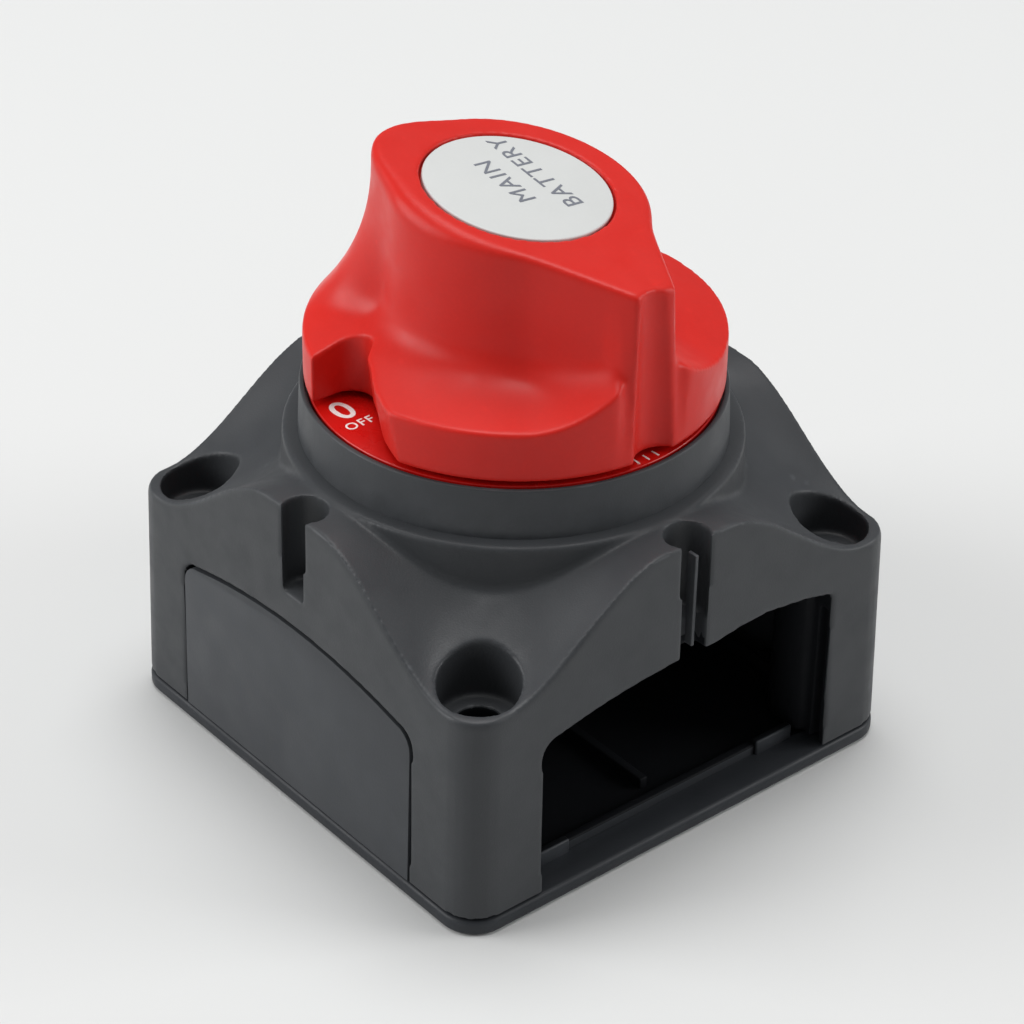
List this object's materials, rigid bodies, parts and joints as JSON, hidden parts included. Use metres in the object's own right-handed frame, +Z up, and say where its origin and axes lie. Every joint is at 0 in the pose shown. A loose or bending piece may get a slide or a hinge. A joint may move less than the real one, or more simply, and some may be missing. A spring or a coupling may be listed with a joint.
{
  "type": "battery switch",
  "caption": "Square contoured battery isolator switch with a turning pointer knob, covered side cable openings, terminal studs and a clip-on base plate.",
  "frame": {"origin": "centre of the base plate's flat underside, on the knob's turning axis", "axes": "+Z is up, from the base plate to the knob, along the knob's axis; +X is towards the open cable entry and the knob's pointer at OFF; +Y completes the right-handed frame"},
  "size_m": [0.068, 0.068, 0.077],
  "materials": {
    "housing_plastic": "fine spark-eroded matt texture",
    "base_plastic": "matt",
    "cover_plastic": "fine matt texture",
    "dial_plastic": "satin",
    "knob_plastic": "satin moulded",
    "label_plastic": "satin printed",
    "stainless_steel": "plain",
    "spring_steel": "drawn wire",
    "rotor_plastic": "glass filled, matt",
    "seal_rubber": "smooth",
    "nylon": "natural",
    "copper": "rolled",
    "tinned_copper": "tin plated"
  },
  "bodies": {
    "base": {"base_plate": "base_plastic", "cable_cover_left": "cover_plastic", "cable_cover_rear": "cover_plastic", "cable_cover_right": "cover_plastic"},
    "housing": {"housing": "housing_plastic", "dial_ring": "dial_plastic", "shaft_seal": "seal_rubber", "shaft_bush": "nylon", "detent_ring": "nylon", "terminal_plate": "rotor_plastic", "plate_screw_1": "stainless_steel", "plate_screw_2": "stainless_steel", "plate_screw_3": "stainless_steel", "plate_screw_4": "stainless_steel", "stud_1": "tinned_copper", "stud_2": "tinned_copper", "stud_washer_1": "stainless_steel", "stud_washer_2": "stainless_steel", "spring_washer_1": "stainless_steel", "spring_washer_2": "stainless_steel", "stud_nut_1": "stainless_steel", "stud_nut_2": "stainless_steel"},
    "knob": {"knob": "knob_plastic", "label_disc": "label_plastic", "knob_screw": "stainless_steel", "knob_washer": "stainless_steel", "rotor": "rotor_plastic", "contact_spring": "spring_steel", "detent_spring_1": "spring_steel", "detent_spring_2": "spring_steel"},
    "contact_bar": {"contact_bar": "copper"},
    "detent_ball_1": {"detent_ball_1": "stainless_steel"},
    "detent_ball_2": {"detent_ball_2": "stainless_steel"}
  },
  "joints": [
    {"name": "housing_lift", "type": "slide", "parent": "base", "child": "housing", "axis": [0, 0, 1], "range_m": [0, 0.035]},
    {"name": "knob_turn", "type": "hinge", "parent": "housing", "child": "knob", "pos_m": [0, 0, 0.05], "axis": [0, 0, -1], "range_deg": [0, 90]},
    {"name": "contact_bar_float", "type": "slide", "parent": "knob", "child": "contact_bar", "axis": [0, 0, 1], "range_m": [0, 0.001], "stiffness_N_per_m": 2500, "springref_m": -0.002, "deforming": ["contact_spring"]},
    {"name": "detent_press_1", "type": "slide", "parent": "knob", "child": "detent_ball_1", "axis": [0, 0, -1], "range_m": [0, 0.0002], "stiffness_N_per_m": 1500, "springref_m": -0.001, "deforming": ["detent_spring_1"]},
    {"name": "detent_press_2", "type": "slide", "parent": "knob", "child": "detent_ball_2", "axis": [0, 0, -1], "range_m": [0, 0.0002], "stiffness_N_per_m": 1500, "springref_m": -0.001, "deforming": ["detent_spring_2"]}
  ]
}
